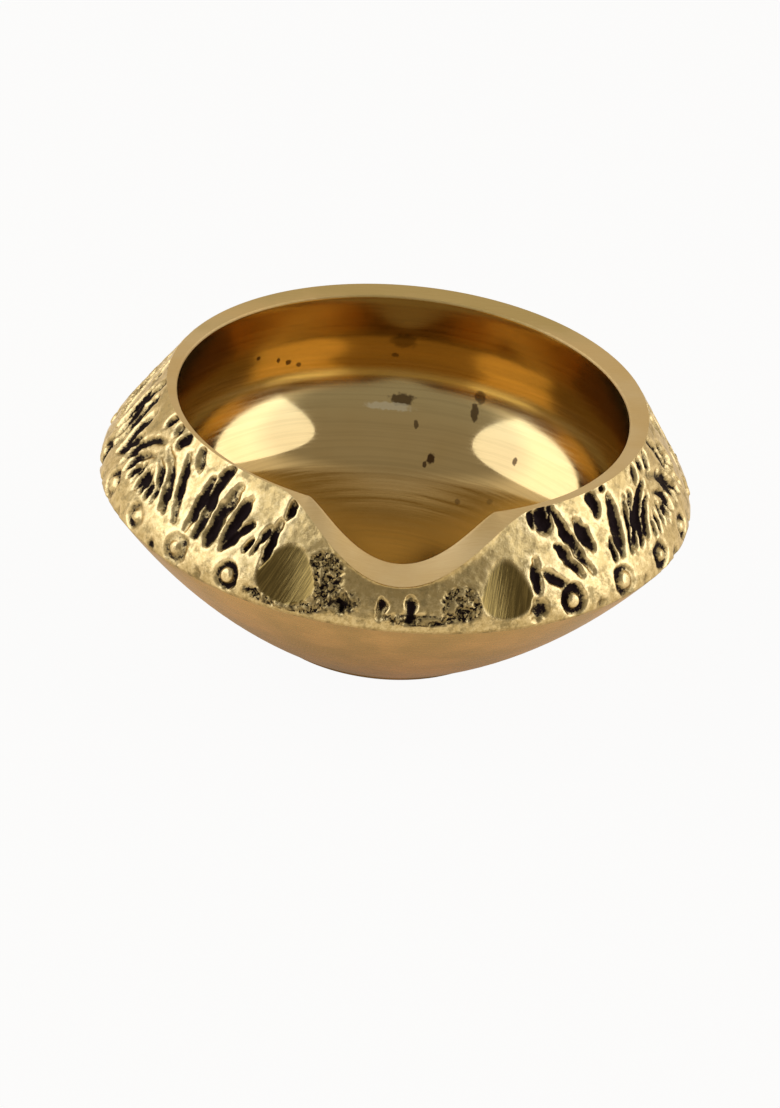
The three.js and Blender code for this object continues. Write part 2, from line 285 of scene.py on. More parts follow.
# Dark spots in the turned inside, pits and painted reflections: middle, half sizes and strength,
# and a pale bar painted in as a reflection
PITS_AND_PAINTED_REFLECTIONS = (
    # The first three and the last two rows are painted reflections of dark things in front of the
    # lamp; the others are pits and specks
    ((1.9, 30.8, 16.1), (1.7, 2.0, 0.8), 0.85),
    ((11.9, 29.4, 17.9), (0.8, 1.6, 0.9), 0.7),
    ((11.3, 28.6, 16.0), (0.5, 1.6, 1.3), 0.85),
    ((6.0, 25.0, 10.8), (0.55, 0.9, 1.0), 1.0),
    ((5.2, 24.2, 10.3), (0.3, 0.5, 1.0), 0.9),
    ((3.9, 28.9, 13.6), (0.35, 0.6, 0.6), 0.8),
    ((16.7, 22.6, 12.5), (0.35, 0.6, 1.0), 0.9),
    ((9.5, 18.1, 8.5), (0.35, 0.6, 1.0), 0.45),
    ((13.6, 17.5, 9.1), (0.4, 0.5, 1.0), 0.35),
    ((-17.4, 27.2, 22.5), (0.35, 0.5, 0.4), 0.9),
    ((-14.7, 28.8, 21.5), (0.3, 0.5, 0.4), 0.9),
    ((-13.4, 29.4, 21.0), (0.45, 0.6, 0.4), 0.9),
    ((-12.0, 30.0, 20.5), (0.4, 0.5, 0.4), 0.8),
    ((0.5, 32.3, 21.7), (0.5, 0.6, 0.4), 0.7),
    ((1.5, 32.2, 24.2), (1.9, 1.0, 1.4), 0.55),
)
# A pale bar painted in as a reflection
PALE_PAINTED_REFLECTION = ((0.3, 30.1, 15.2), (3.4, 2.0, 0.5))

# The noise starts from this seed and repeats after this many cells
SEED = 7
LATTICE = 256

# More than any distance on the lamp and less than any that counts, in millimetres
FAR = 1e3
TINY = 1e-9

# What the cast skin's finish needs to know at each point
SKIN_VALUES = ("recess", "crest", "filed", "pitted")


def wrapped(degrees):
    """Angles brought between -180 and 180."""
    return (np.asarray(degrees) + 180.0) % 360.0 - 180.0


def shares(count):
    """Even steps from 0 to 1."""
    return np.linspace(0.0, 1.0, count)


def smooth(low, high, value):
    """A smooth change from 0 at low to 1 at high."""
    part = np.clip((value - low) / (high - low), 0.0, 1.0)
    return part * part * (3.0 - 2.0 * part)


def around(angle, radius, height):
    """Points at an angle from the spout, which faces -Y."""
    turn = np.radians(angle)
    angle, radius, height = np.broadcast_arrays(turn, radius, height)
    return np.stack([radius * np.sin(angle), -radius * np.cos(angle), height], axis=-1)


def unit(vectors):
    """Vectors of the same direction and length 1."""
    return vectors / np.linalg.norm(vectors, axis=-1, keepdims=True)


def crowded(count):
    """Angles round the lamp, closer together near the spout."""
    share = np.arange(count) / count
    return 360.0 * share - FRONT_CROWDING * np.degrees(np.sin(2 * np.pi * share))


def dip(angle, lip):
    """How far a lip of the spout lies below the rim."""
    depth, half_angle, power = lip
    reach = np.clip(np.abs(wrapped(angle - SPOUT_ANGLE)) / half_angle, 0.0, 1.0)
    return depth * np.cos(np.pi / 2 * reach) ** power


def lengths_along(path):
    """How far each point of a flat path lies from its start, along the path."""
    return np.concatenate([[0.0], np.cumsum(np.hypot(*np.diff(path, axis=0).T))])


def bezier(start, control, end, part):
    """Points at a share of the way along a curve with one control point."""
    part = np.asarray(part, float)[..., None]
    start, control, end = (np.asarray(p, float) for p in (start, control, end))
    return (1 - part) ** 2 * start + 2 * part * (1 - part) * control + part**2 * end


def lower_bowl(part):
    """Radius and height of the lower bowl, from the foot's edge at 0 to the band at 1."""
    start = np.array([FOOT_RADIUS, FOOT_EDGE])
    end = np.array([BAND_RADIUS - BAND_STEP, BAND_BOTTOM - BAND_UNDERCUT])
    along = end - start
    side = np.array([along[1], -along[0]]) / np.linalg.norm(along)
    control = (start + end) / 2 + side * 2 * LOWER_BOWL_BULGE
    return bezier(start, control, end, part)


def band(part):
    """Radius and height of the band, from its lower edge at 0 to the shoulder at 1."""
    slope = (SHOULDER_FOOT_RADIUS - RIM_OUTER_RADIUS) / SHOULDER_RISE
    control = (BAND_RADIUS, SHOULDER_FOOT - BAND_LEAN / slope)
    return bezier((BAND_RADIUS, BAND_BOTTOM), control, (SHOULDER_FOOT_RADIUS, SHOULDER_FOOT), part)


def cone(angle, rise):
    """Points of the straight shoulder, from 0 at its foot to 1 at the rim's full height."""
    radius = SHOULDER_FOOT_RADIUS + SHOULDER_RUN * rise
    point = around(angle, radius, SHOULDER_FOOT + SHOULDER_RISE * rise)
    point[..., 0] += RIM_SHIFT[0] * rise
    point[..., 1] += RIM_SHIFT[1] * rise
    return point


def cone_outward(angle):
    """The direction straight out of the shoulder."""
    return unit(around(angle, SHOULDER_RISE, -SHOULDER_RUN))


def shoulder(angle, rise):
    """Points of the shoulder with the lip's overhang."""
    top = 1.0 - dip(angle, OUTER_LIP) / SHOULDER_RISE
    reach = np.clip(rise / top, 0.0, 1.0) ** OVERHANG_POWER
    out = LIP_OVERHANG * dip(angle, OUTER_LIP) / OUTER_LIP[0] * reach
    return cone(angle, rise) + around(angle, out, 0.0)


def filed_depth(points, outward):
    """How far the scoops beside the spout lie below the surface."""
    depth = np.zeros(points.shape[:-1])
    tilt = math.radians(SCOOP_TILT)
    for side in (-1, 1):
        facing = around(SPOUT_ANGLE + side * SCOOP_TURN, math.cos(tilt), math.sin(tilt))
        across = np.cross((0.0, 0.0, 1.0), facing) / math.cos(tilt)
        middle = cone(SPOUT_ANGLE + side * SCOOP_OFFSET, SCOOP_RISE) - SCOOP_DEPTH * facing
        offset = points - middle
        reach = np.clip((offset @ across) / SCOOP_RADIUS, -1.0, 1.0)
        below = offset @ facing - SCOOP_RADIUS * (1.0 - np.sqrt(1.0 - reach**2))
        squarely = np.maximum(outward @ facing, SCOOP_LEAST_FACING)
        below = np.where(np.abs(reach) < 1.0, below / squarely, 0.0)
        depth = np.maximum(depth, np.clip(below, 0.0, SCOOP_DEPTH_LIMIT))
    return depth


def inside_profile():
    """Radius and height of the turned inside, from the floor's middle to the mouth."""
    first, last = math.radians(HEEL_START), math.radians(HEEL_END)
    centre = np.array(HEEL_CENTRE)
    dish_radius = HEEL_RADIUS + centre[0] / math.sin(first)
    dish_centre = centre[1] + centre[0] / math.tan(first)
    turn = np.linspace(0.0, first, DISH_STEPS)
    dish = np.stack([dish_radius * np.sin(turn), dish_centre - dish_radius * np.cos(turn)], axis=-1)
    turn = np.linspace(first, last, HEEL_STEPS)[1:]
    heel = centre + HEEL_RADIUS * np.stack([np.sin(turn), -np.cos(turn)], axis=-1)
    control = heel[-1] + WALL_EASE * np.array([math.cos(last), math.sin(last)])
    part = shares(WALL_STEPS)[1:]
    wall = bezier(heel[-1], control, (MOUTH_RADIUS, RIM_HEIGHT), part)
    return np.concatenate([dish, heel, wall])


INSIDE = inside_profile()
WIDEST = int(INSIDE[:, 0].argmax())


def wall_radius(height):
    """The wall's radius at a height above its widest place."""
    return np.interp(height, INSIDE[WIDEST:, 1], INSIDE[WIDEST:, 0])


def bowl(part):
    """Radius and height along the inside, from its widest place at 0 to the floor's middle at 1."""
    path = INSIDE[: WIDEST + 1][::-1]
    length = lengths_along(path)
    where = part * length[-1]
    return np.stack([np.interp(where, length, path[:, axis]) for axis in (0, 1)], axis=-1)


class Noise:
    """Smooth lattice noise between -1 and 1, the same on every run."""

    def __init__(self, seed):
        rng = np.random.default_rng(seed)
        self.order = rng.permutation(LATTICE)
        self.value = rng.uniform(-1.0, 1.0, LATTICE)

    def corner(self, cell):
        """The value at a lattice corner."""
        mixed = self.order[cell[..., 0] % LATTICE]
        mixed = self.order[(mixed + cell[..., 1]) % LATTICE]
        return self.value[self.order[(mixed + cell[..., 2]) % LATTICE]]

    def __call__(self, points, size):
        scaled = points / size
        cell = np.floor(scaled).astype(int)
        part = scaled - cell
        part = part * part * (3.0 - 2.0 * part)
        total = 0.0
        for step in np.ndindex(2, 2, 2):
            x, y, z = np.moveaxis(np.where(step, part, 1.0 - part), -1, 0)
            total = total + x * y * z * self.corner(cell + step)
        return total


class Relief:
    """The carved and cast surface of the band and shoulder, unrolled.

    height is the way up the surface in millimetres, 0 at the shoulder's foot, and ragged moves
    the edges of the grooves.
    """

    def __init__(self, angle, height, radius, ragged):
        self.angle = angle
        self.height = height
        self.radius = radius
        self.ragged = ragged
        self.groove, self.ridge, self.crest, self.pitted = np.zeros((4, *height.shape))

    def near(self, low, high, margin):
        """Column numbers between two angles, with a margin in degrees."""
        middle, half = (low + high) / 2, (high - low) / 2 + margin
        return np.nonzero(np.abs(wrapped(self.angle - middle)) < half)[0]

    def across(self, columns, angle):
        """Millimetres round the lamp from an angle to the columns."""
        return np.radians(wrapped(self.angle[columns][None, :] - angle)) * self.radius[:, columns]

    def lay(self, columns, groove, ridge, crest):
        """Adds a mark to the columns; where marks meet, the stronger one counts."""
        for held, new in ((self.groove, groove), (self.ridge, ridge), (self.crest, crest)):
            held[:, columns] = np.maximum(held[:, columns], new)

    def cut_and_crest(self, reach, half_width):
        """A groove's cross section and the worn crest beside it, both from 0 to 1."""
        beside = np.maximum(reach - 1.0, 0.0) * half_width / CREST_WIDTH
        return np.clip(1.0 - reach**2, 0.0, 1.0), np.exp(-(beside**2))

    def stroke(self, path, half_width, depth, lip=LIP_HEIGHT, worn=1.0):
        """A groove with rounded ends along a path of angle and height, and its raised sides."""
        columns = self.near(path[:, 0].min(), path[:, 0].max(), STROKE_MARGIN)
        radius = self.radius[:, columns]
        best = np.full(radius.shape, FAR)
        taper = np.zeros(radius.shape)
        for step in range(len(path) - 1):
            ax = self.across(columns, path[step, 0])
            ay = self.height[:, columns] - path[step, 1]
            bx = np.radians(path[step + 1, 0] - path[step, 0]) * radius
            by = path[step + 1, 1] - path[step, 1]
            part = np.clip((ax * bx + ay * by) / (bx * bx + by * by + TINY), 0.0, 1.0)
            away = np.hypot(ax - part * bx, ay - part * by)
            along = (step + part) / (len(path) - 1)
            inner = np.clip(along, END_SHARE, 1.0 - END_SHARE)
            full = np.sin(np.pi * inner) ** END_BLUNTNESS
            nearer = away / full < best
            best = np.where(nearer, away / full, best)
            taper = np.where(nearer, full, taper)
        best = np.maximum(best + self.ragged[:, columns], 0.0)
        reach = best / (GOUGE_FLARE * half_width)
        section, crest = self.cut_and_crest(reach, half_width)
        rise = lip * taper * np.exp(-(((reach - LIP_PLACE) / LIP_SPREAD) ** 2))
        self.lay(columns, depth * taper * section, rise, worn * crest)

    def ring(self, angle, height, radius, stretch, half_width, depth, uneven):
        """A ring-shaped groove, uneven in depth, that leaves a dot standing inside it."""
        columns = self.near(angle, angle, RING_MARGIN)
        across = self.across(columns, angle)
        up = (self.height[:, columns] - height) / stretch
        away = np.hypot(across, up)
        # The shallow side points another way on each ring, as its angle is taken for radians
        fade = 1.0 - uneven * (0.5 + 0.5 * np.cos(np.arctan2(up, across) - angle))
        away = away + RING_RAGGED * self.ragged[:, columns]
        reach = np.abs(away - radius) / (GOUGE_FLARE * half_width)
        section, crest = self.cut_and_crest(reach, half_width)
        dot = DOT_HEIGHT * np.exp(-((away / (DOT_SHARE * radius)) ** 4))
        self.lay(columns, depth * fade * section, dot, crest)

    def patch(self, angle, height, half_angle, half_height):
        """A pitted patch with a soft edge."""
        across = wrapped(self.angle[None, :] - angle) / half_angle
        away = np.hypot(across, (self.height - height) / half_height)
        self.pitted = np.maximum(self.pitted, 1.0 - smooth(*PATCH_EDGE, away))


def spaced(count, first):
    """Angles at an even pitch from one side of the spout round the back to the other."""
    return first + (360.0 - 2 * first) / (count - 1) * np.arange(count)


def curve_path(middle, points):
    """A smooth path through points of angle from a middle and rise."""
    known = shares(len(points))
    curves = np.polyfit(known, np.array(points), len(points) - 1)
    part = shares(PATH_POINTS)
    angle, rise = (np.polyval(curve, part) for curve in curves.T)
    return np.stack([middle + angle, rise * SHOULDER_LENGTH], axis=-1)


def arch_path(middle, side, half_angle, top, low, high):
    """One side of an arch, from one rise to another."""
    rise = np.linspace(low, high, PATH_POINTS)
    offset = half_angle * np.sqrt(1.0 - (rise / top) ** 2)
    return np.stack([middle + side * offset, rise * SHOULDER_LENGTH], axis=-1)


def carve_leaves(relief, rng):
    """Fans, the rosettes between them and the strokes beside the spout, each a little uneven."""
    turn_jitter, rise_jitter = STROKE_JITTER

    def cut(path, half_width):
        path = path + rng.normal(0.0, 1.0, path.shape) * POINT_JITTER
        path = path + rng.normal(0.0, 1.0, 2) * (turn_jitter, rise_jitter * SHOULDER_LENGTH)
        size = half_width * rng.uniform(*STROKE_WIDTH_RANGE)
        relief.stroke(path, size, GOUGE_DEPTH * rng.uniform(*STROKE_DEPTH_RANGE))

    fans = spaced(FAN_COUNT, FIRST_FAN)
    for middle in fans:
        for half_width, *points in RIGHT_FAN if middle < 180.0 else LEFT_FAN:
            cut(curve_path(middle, points), half_width)
    for middle in (fans[1:] + fans[:-1]) / 2:
        for *arch, half_width in ROSETTE_ARCHES:
            for side in (-1, 1):
                cut(arch_path(middle, side, *arch), half_width)
        for half_width, *points in ROSETTE_VEINS:
            cut(curve_path(middle, points), half_width)
    for half_width, *points in BESIDE_SPOUT:
        cut(curve_path(0.0, points), half_width)


def carve_border(relief, rng):
    """Rings with dots, and a small notch on the lower edge between each two."""
    band_length = -relief.height.min()
    rings = spaced(RING_COUNT, FIRST_RING)
    for angle in rings:
        height = (RING_SHARE - 1.0) * band_length + rng.normal(0.0, RING_JITTER[1])
        angle += rng.normal(0.0, RING_JITTER[0])
        radius, stretch, width, depth, uneven = (rng.uniform(*ends) for ends in RING_RANGES)
        relief.ring(
            angle, height, radius * RING_RADIUS, stretch, width * RING_HALF_WIDTH,
            depth * RING_DEPTH, uneven)
    for angle in (rings[1:] + rings[:-1]) / 2:
        path = np.array([(angle, low - band_length) for low in NOTCH_HEIGHTS])
        relief.stroke(path, NOTCH_HALF_WIDTH, NOTCH_DEPTH, lip=0.0)


def carve_front(relief):
    """The nicks and the pitted patches below the spout."""
    middle_bend, foot_bend = NICK_BEND
    for angle, top, foot, half_width in NICKS:
        middle = (angle + middle_bend, (top + foot) / 2)
        path = np.array([(angle, top), middle, (angle + foot_bend, foot)])
        relief.stroke(path, half_width, NICK_DEPTH, worn=NICK_CREST)
    for patch in PITTED:
        relief.patch(*patch)


def band_zone(angle):
    """Base points, outward directions and unrolled heights of the band."""
    profile = band(shares(BAND_ROWS + 1))
    run = np.gradient(profile, axis=0)
    length = lengths_along(profile)
    points = around(angle[None, :], profile[:, :1], profile[:, 1:])
    outward = unit(around(angle[None, :], run[:, 1:], -run[:, :1]))
    height = np.repeat((length - length[-1])[:, None], len(angle), axis=1)
    return points, outward, height


def inner_lip(angle):
    """The sill's inner edge, above the bevel of the mouth."""
    height = RIM_HEIGHT - dip(angle, INNER_LIP)
    return around(angle, wall_radius(height) + MOUTH_BEVEL, height)


def lip_rise(angle):
    """The rise at which the shoulder, scoops and all, meets the flat of the sill."""
    top = 1.0 - dip(angle, OUTER_LIP) / SHOULDER_RISE
    start = shoulder(angle, top)
    sill = inner_lip(angle) - start
    rise = top + np.linspace(0.0, LIP_SEARCH, LIP_SEARCH_STEPS)[:, None]
    points = shoulder(angle[None, :], rise)
    outward = cone_outward(angle)[None]
    points = points - outward * filed_depth(points, outward)[..., None]
    offset = points - start
    share = (offset[..., :2] * sill[:, :2]).sum(axis=-1) / (sill[:, :2] ** 2).sum(axis=-1)
    above = offset[..., 2] - share * sill[:, 2]
    first = np.maximum((above > TINY).argmax(axis=0), 1)
    column = np.arange(len(angle))
    low, high = above[first - 1, column], above[first, column]
    part = np.clip(-low / np.maximum(high - low, TINY), 0.0, 1.0)
    return rise[first - 1, column] + part * (rise[first, column] - rise[first - 1, column])


def shoulder_zone(angle):
    """Base points, outward directions and unrolled heights of the shoulder."""
    part = np.append(shares(SHOULDER_ROWS)[1:], 1.0)
    rise = part[:, None] * lip_rise(angle)[None, :]
    rise[-2] -= EDGE_ROW_DROP / SHOULDER_LENGTH
    points = shoulder(angle[None, :], rise)
    return points, np.broadcast_to(cone_outward(angle), points.shape), rise * SHOULDER_LENGTH


def lip_zone(angle):
    """The ground rim and the flat sill of the spout, down to the bevel's foot."""
    outer = shoulder(angle, lip_rise(angle))
    outward = cone_outward(angle)
    outer = outer - outward * filed_depth(outer, outward)[:, None]
    inner = inner_lip(angle)
    height = RIM_HEIGHT - dip(angle, INNER_LIP) - MOUTH_BEVEL
    low = around(angle, wall_radius(height), height)
    rows = [outer + (inner - outer) * part for part in LIP_ROWS]
    rows += [inner + (low - inner) * part for part in BEVEL_ROWS]
    return np.array(rows)


def wall_zone(angle):
    """The turned wall, from the bevel's foot down to its widest place."""
    top = RIM_HEIGHT - dip(angle, INNER_LIP) - MOUTH_BEVEL
    low = INSIDE[WIDEST, 1]
    part = shares(WALL_ROWS + 1)[:-1] + WALL_FIRST_ROW / WALL_ROWS
    height = top + (low - top) * part[:, None]
    return around(angle, wall_radius(height), height)


def bowl_zone(angle):
    """The heel and the dish, from the wall's widest place to just short of the middle."""
    profile = bowl(shares(BOWL_ROWS + 1)[:-1])
    return around(angle[None, :], profile[:, :1], profile[:, 1:])


def under_zone(angle):
    """The sole and the lower bowl, from the middle outward."""
    profile = [((FOOT_RADIUS - FOOT_EDGE) * part, 0.0) for part in SOLE_ROWS]
    profile.append((FOOT_RADIUS - FOOT_EDGE_IN, FOOT_EDGE_UP))
    profile = np.concatenate([profile, lower_bowl(shares(LOWER_BOWL_ROWS))])
    return around(angle, profile[:, :1], profile[:, 1:])


# The finishes by their number on the lamp
UNDER, CAST, GROUND, TURNED = range(4)


class Skin:
    """Collects rings of points and the faces between them."""

    def __init__(self):
        self.points = []
        self.faces = []
        self.finish = []
        self.values = []

    def ring(self, points, values=0.0):
        """Adds a ring of points with what its finish needs, and returns their numbers."""
        first = sum(map(len, self.points))
        self.points.append(points)
        self.values.append(np.broadcast_to(values, (len(points), len(SKIN_VALUES))))
        return first + np.arange(len(points))

    def add(self, faces, finish):
        """Adds faces of one finish."""
        self.faces.extend(faces)
        self.finish.extend([finish] * len(faces))

    def join(self, low, high, finish):
        """Faces between two rings, whose counts are equal or a whole multiple of each other."""
        if len(low) == len(high):
            quads = np.stack([low, np.roll(low, -1), np.roll(high, -1), high], axis=-1)
            self.add(quads.tolist(), finish)
            return
        coarse, fine = (low, high) if len(low) < len(high) else (high, low)
        ratio = len(fine) // len(coarse)
        faces = []
        for number, here in enumerate(coarse):
            ahead = coarse[(number + 1) % len(coarse)]
            span = [fine[(number * ratio + step) % len(fine)] for step in range(ratio + 1)]
            half = ratio // 2
            for step in range(ratio):
                faces.append([here if step < half else ahead, span[step + 1], span[step]])
            faces.append([here, ahead, span[half]])
        if len(low) > len(high):
            faces = [face[::-1] for face in faces]
        self.add(np.array(faces).tolist(), finish)

    def cap(self, ring, point, finish, downward=False):
        """Closes a ring with triangles to a point in its middle."""
        centre = int(self.ring(np.array([point]))[0])
        ahead = np.roll(ring, -1)
        pairs = zip(ahead, ring) if downward else zip(ring, ahead)
        self.add([[centre, int(a), int(b)] for a, b in pairs], finish)


def cast_zone(angle):
    """The band and shoulder with their relief: points and the values their finish needs."""
    rng = np.random.default_rng(SEED)
    band_points, band_out, band_height = band_zone(angle)
    top_points, top_out, top_height = shoulder_zone(angle)
    points = np.concatenate([band_points, top_points])
    outward = np.concatenate([band_out, top_out])
    height = np.concatenate([band_height, top_height])
    grain = Noise(SEED)
    coarse, fine = (grain(points, size) for size in GRAIN_SIZES)
    ragged = RAGGED_SHARES[0] * coarse + RAGGED_SHARES[1] * fine
    relief = Relief(angle, height, np.hypot(points[..., 0], points[..., 1]), ragged)
    carve_leaves(relief, rng)
    carve_border(relief, rng)
    carve_front(relief)
    depth = filed_depth(points, outward)
    filed = smooth(0.0, FILED_FULL, depth)
    rough = ROUGH_SHARES[0] * coarse + ROUGH_SHARES[1] * fine
    pit_noise = grain(points, PIT_SIZE)
    pits = smooth(*PIT_LEVELS, -pit_noise) * relief.pitted
    knobs = smooth(*KNOB_LEVELS, pit_noise) * relief.pitted
    wobble = WOBBLE_DEPTH * grain(points * WOBBLE_SCALE, WOBBLE_SIZE)
    below_rim = height[-1] - height
    lift = relief.ridge - relief.groove + rough + KNOB_HEIGHT * knobs - PIT_DEPTH * pits
    cast = 1.0 - filed
    lift *= cast * smooth(0.0, RELIEF_FADE, below_rim)
    lift = lift + wobble * smooth(0.0, WOBBLE_FADE, below_rim) - depth
    points = points + outward * lift[..., None]
    unevenly = 1.0 + BLACK_UNEVEN * grain(points + BLACK_SHIFT, BLACK_SIZE)
    recess = unevenly * relief.groove + PIT_DEPTH * pits
    recess = cast * np.clip(recess / GOUGE_DEPTH, 0.0, 1.0)
    crest = cast * np.maximum(relief.crest, knobs)
    return points, np.stack([recess, crest, filed, cast * relief.pitted], axis=-1)


def lamp_skin():
    """All of the lamp's surface, from the middle of the sole round to the middle of the dish."""
    fine = crowded(FINE_COLUMNS)
    plain = crowded(PLAIN_COLUMNS)
    skin = Skin()
    rings = [(skin.ring(row), UNDER) for row in under_zone(plain)]
    rings += [(skin.ring(*row), CAST) for row in zip(*cast_zone(fine))]
    rings += [(skin.ring(row), GROUND) for row in lip_zone(fine)]
    for zone in (wall_zone, bowl_zone):
        rings += [(skin.ring(row), TURNED) for row in zone(plain)]
    skin.cap(rings[0][0], (0.0, 0.0, 0.0), UNDER, downward=True)
    for (low, _), (high, finish) in zip(rings, rings[1:]):
        skin.join(low, high, finish)
    skin.cap(rings[-1][0], (0.0, 0.0, INSIDE[0, 1]), TURNED)
    return skin


def new_object(name, data):
    """An object in the scene that holds a mesh, a light or the camera."""
    made = bpy.data.objects.new(name, data)
    bpy.context.scene.collection.objects.link(made)
    return made


def build_lamp():
    skin = lamp_skin()
    mesh = bpy.data.meshes.new("lamp_casting")
    points = np.concatenate(skin.points) * MM
    mesh.from_pydata(points.tolist(), [], skin.faces)
    mesh.polygons.foreach_set("use_smooth", [True] * len(mesh.polygons))
    mesh.polygons.foreach_set("material_index", skin.finish)
    for name, held in zip(SKIN_VALUES, np.concatenate(skin.values).T):
        layer = mesh.attributes.new(name, "FLOAT", "POINT")
        layer.data.foreach_set("value", held.astype(np.float32))
    for finish in (under_finish, cast_finish, ground_finish, turned_finish):
        mesh.materials.append(finish())
    mesh.update()
    return new_object("lamp_casting", mesh)


class Graph:
    """A short way to write the nodes of a material or of the world."""

    def __init__(self, owner):
        owner.use_nodes = True
        self.owner = owner
        self.tree = owner.node_tree
        self.tree.nodes.clear()

    def node(self, kind, inputs=None, **settings):
        node = self.tree.nodes.new("ShaderNode" + kind)
        for name, value in settings.items():
            setattr(node, name, value)
        for name, value in (inputs or {}).items():
            self.put(node.inputs[name], value)
        return node

    def put(self, socket, value):
        if isinstance(value, bpy.types.NodeSocket):
            self.tree.links.new(value, socket)
        else:
            socket.default_value = value

    def output(self, kind, surface):
        self.node(kind, {"Surface": surface.outputs[0]})

    def math(self, operation, first, second=0.0, third=0.0):
        inputs = {0: first, 1: second, 2: third}
        return self.node("Math", inputs, operation=operation).outputs[0]

    def vector(self, operation, inputs, result=0):
        return self.node("VectorMath", inputs, operation=operation).outputs[result]

    def times(self, first, second):
        return self.math("MULTIPLY", first, second)

    def plus(self, first, second):
        return self.math("ADD", first, second)

    def most(self, first, second):
        return self.math("MAXIMUM", first, second)

    def ramp(self, value, low, high, start=0.0, end=1.0, kind="SMOOTHSTEP"):
        """A change from start at low to end at high, smooth unless kind says otherwise."""
        inputs = {"Value": value, "From Min": low, "From Max": high, "To Min": start, "To Max": end}
        return self.node("MapRange", inputs, interpolation_type=kind).outputs[0]

    def blend(self, share, first, second):
        """The first colour at a share of 0, the second at 1."""
        return self.node("Mix", {0: share, 6: first, 7: second}, data_type="RGBA").outputs[2]

    def place(self):
        """The point's place on the lamp, in millimetres."""
        place = self.node("TexCoord").outputs["Object"]
        return self.vector("SCALE", {0: place, "Scale": 1.0 / MM})

    def split(self, vector):
        return self.node("SeparateXYZ", {0: vector}).outputs

    def strokes(self, place, pitch, length, lean):
        """Noise drawn out up the shoulder, leaning to the right by an angle in degrees."""
        x, y, z = self.split(place)
        turn = self.math("ARCTAN2", x, self.times(y, -1.0))
        slide = self.times(z, -math.tan(math.radians(lean)))
        across = self.plus(self.times(turn, BAND_RADIUS), slide)
        across = self.times(across, 1.0 / pitch)
        along = self.times(z, 1.0 / length)
        drawn = self.node("CombineXYZ", {0: across, 1: along}).outputs[0]
        return self.noise(drawn, 1.0, *STROKE_NOISE)

    def noise(self, vector, scale, detail=3.0, roughness=0.55):
        inputs = {"Vector": vector, "Scale": scale, "Detail": detail, "Roughness": roughness}
        return self.node("TexNoise", inputs).outputs[0]

    def spot(self, place, centre, half, ragged):
        """1 within a middle and half sizes, 0 outside, with a ragged edge."""
        away = self.vector("SUBTRACT", {0: place, 1: centre})
        away = self.vector("LENGTH", {0: self.vector("DIVIDE", {0: away, 1: half})}, "Value")
        return self.ramp(self.plus(away, ragged), *SPOT_EDGE)

    def value(self, name):
        """One of the values that the skin holds at its points."""
        return self.node("Attribute", attribute_name=name).outputs["Fac"]

    def turned(self, place, pitch, drift):
        """Noise in rings round the lamp's axis, as a lathe leaves it."""
        x, y, z = self.split(place)
        squares = self.plus(self.times(x, x), self.times(y, y))
        slow = self.times(self.noise(place, *DRIFT_NOISE), drift)
        radius = self.plus(self.math("SQRT", squares), slow)
        height = self.plus(z, slow)
        rings = self.node("CombineXYZ", {0: radius, 1: height, 2: slow})
        return self.noise(rings.outputs[0], 1.0 / pitch, *RING_NOISE)

    def bump(self, height, strength, distance, normal=None):
        """A bumped normal; the distance is in millimetres."""
        inputs = {"Height": height, "Strength": strength, "Distance": distance * MM}
        if normal is not None:
            inputs["Normal"] = normal
        return self.node("Bump", inputs).outputs[0]

    def brass(self, colour, roughness, normal, stretch=0.0):
        """A brass surface; stretch draws its highlights out across the turning lines."""
        inputs = {
            "Base Color": colour, "Metallic": 1.0, "Roughness": roughness, "Normal": normal,
            "Specular Tint": EDGE_TINT,
        }
        if stretch:
            tangent = self.node("Tangent", direction_type="RADIAL", axis="Z").outputs[0]
            inputs["Tangent"] = tangent
            inputs["Anisotropic"] = stretch
            inputs["Anisotropic Rotation"] = QUARTER_TURN
        self.output("OutputMaterial", self.node("BsdfPrincipled", inputs))
        return self.owner


def new_graph(name):
    return Graph(bpy.data.materials.new(name))


def tint(red, green, blue):
    return (red, green, blue, 1.0)


# Colours of bare and worn brass, of what has darkened it, of its edges seen at a low angle, and of
# painted shade, painted light and painted reflections
BRASS = tint(0.61, 0.405, 0.155)
BRASS_PALE = tint(0.64, 0.45, 0.20)
BRASS_DEEP = tint(0.58, 0.375, 0.135)
# Painted shade: a darker, deeper amber for the front of the inside, standing in for its dim
# reflections
BRASS_FRONT_PAINTED_SHADE = tint(0.5, 0.29, 0.06)
# Painted light: a paler brass on the inner wall so that the reflections in it come out brighter
BRASS_WALL_PAINTED_LIGHT = tint(0.645, 0.475, 0.2)
BRASS_WORN = tint(0.82, 0.59, 0.26)
BRASS_SATIN = tint(0.78, 0.475, 0.175)
# Painted shade: the filed facets are a dark brass with paler streaks, standing in for the dim room
# they reflect
FILED_PAINTED_SHADE = tint(0.15, 0.095, 0.025)
FILED_STREAK_PAINTED_SHADE = tint(0.31, 0.20, 0.055)
# Painted shade for the back of the rim
BRASS_BACK_PAINTED_SHADE = tint(0.50, 0.34, 0.115)
BRASS_GROUND = tint(0.50, 0.335, 0.12)
# Tarnish for stains and turning lines, also used as painted shade on the skirts of the grooves
TARNISH_AND_SHADE = tint(0.25, 0.17, 0.06)
EDGE_TINT = tint(0.96, 0.88, 0.74)
OXIDE = tint(0.016, 0.009, 0.008)
# Dark colour for pits and for painted reflections of dark things in front of the lamp
PIT_AND_REFLECTION_DARK = tint(0.09, 0.045, 0.015)
# Pale brass for a painted reflection in the dish
BRASS_PAINTED_REFLECTION = tint(0.80, 0.66, 0.40)

